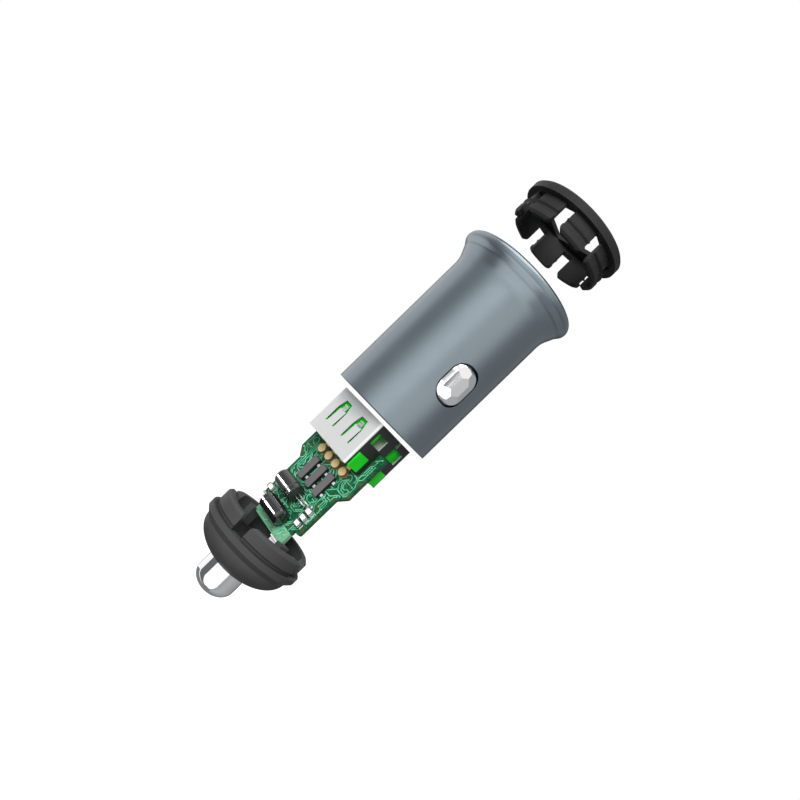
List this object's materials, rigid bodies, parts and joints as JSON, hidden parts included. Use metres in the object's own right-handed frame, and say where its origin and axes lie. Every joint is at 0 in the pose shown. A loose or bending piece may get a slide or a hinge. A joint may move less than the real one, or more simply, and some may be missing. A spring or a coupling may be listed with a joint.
{
  "type": "car usb charger plug",
  "caption": "Dual-port car charger plug shown pulled apart: metal barrel with side contacts, snap cap, circuit board with stacked receptacle, and nose with a sprung tip.",
  "frame": {"origin": "centre of the metal barrel's lower end, on its axis", "axes": "+Z along the axis from the tip towards the port face; the board's parts side faces -Y"},
  "size_m": [0.0248, 0.0248, 0.0931],
  "materials": {
    "barrel_metal": "satin",
    "cap_plastic": "satin",
    "nose_plastic": "matte",
    "tip_metal": "polished",
    "spring_steel": "satin",
    "contact_metal": "polished",
    "board_green": "gloss",
    "shell_steel": "satin",
    "insulator_green": "satin",
    "pin_gold": "polished",
    "capacitor_black": "gloss",
    "lead_tin": "satin",
    "coil_black": "matte",
    "post_brass": "satin",
    "chip_grey": "matte",
    "block_tan": "satin"
  },
  "bodies": {
    "barrel": {"barrel": "barrel_metal", "contact_leaf_left": "spring_steel", "contact_leaf_right": "spring_steel"},
    "contact_left": {"side_contact_left": "contact_metal"},
    "contact_right": {"side_contact_right": "contact_metal"},
    "core": {"nose": "nose_plastic", "tip_spring": "spring_steel", "tip_terminal": "contact_metal", "circuit_board": "board_green", "usb_shell": "shell_steel", "usb_insulator_front": "insulator_green", "usb_insulator_rear": "insulator_green", "usb_pins_front": "pin_gold", "usb_pins_rear": "pin_gold", "capacitor_1": "capacitor_black", "capacitor_2": "capacitor_black", "capacitor_leads_1": "lead_tin", "capacitor_leads_2": "lead_tin", "inductor": "coil_black", "diode": "coil_black", "terminal_post_1": "post_brass", "terminal_post_2": "post_brass", "terminal_post_3": "post_brass", "terminal_post_4": "post_brass", "chip_1": "chip_grey", "chip_2": "chip_grey", "chip_3": "chip_grey", "chip_legs_1": "lead_tin", "chip_legs_2": "lead_tin", "chip_legs_3": "lead_tin", "smd_block_1": "block_tan", "smd_block_2": "block_tan", "smd_block_3": "block_tan", "smd_block_4": "block_tan"},
    "tip": {"tip_pin": "tip_metal"},
    "cap": {"cap": "cap_plastic"}
  },
  "joints": [
    {"name": "core_slide", "type": "slide", "parent": "barrel", "child": "core", "axis": [0, 0, 1], "range_m": [0, 0.0313]},
    {"name": "cap_slide", "type": "slide", "parent": "barrel", "child": "cap", "axis": [0, 0, -1], "range_m": [0, 0.0151]},
    {"name": "tip_press", "type": "slide", "parent": "core", "child": "tip", "axis": [0, 0, 1], "range_m": [0, 0.0025], "stiffness_N_per_m": 1000, "springref_m": -0.002, "deforming": ["tip_spring"]},
    {"name": "contact_right_press", "type": "slide", "parent": "barrel", "child": "contact_right", "axis": [-0.9426, 0.3338, 0], "range_m": [0, 0.0008], "stiffness_N_per_m": 1500, "springref_m": -0.0005, "deforming": ["contact_leaf_right"]},
    {"name": "contact_left_press", "type": "slide", "parent": "barrel", "child": "contact_left", "axis": [0.9426, -0.3338, 0], "range_m": [0, 0.0008], "stiffness_N_per_m": 1500, "springref_m": -0.0005, "deforming": ["contact_leaf_left"]}
  ]
}
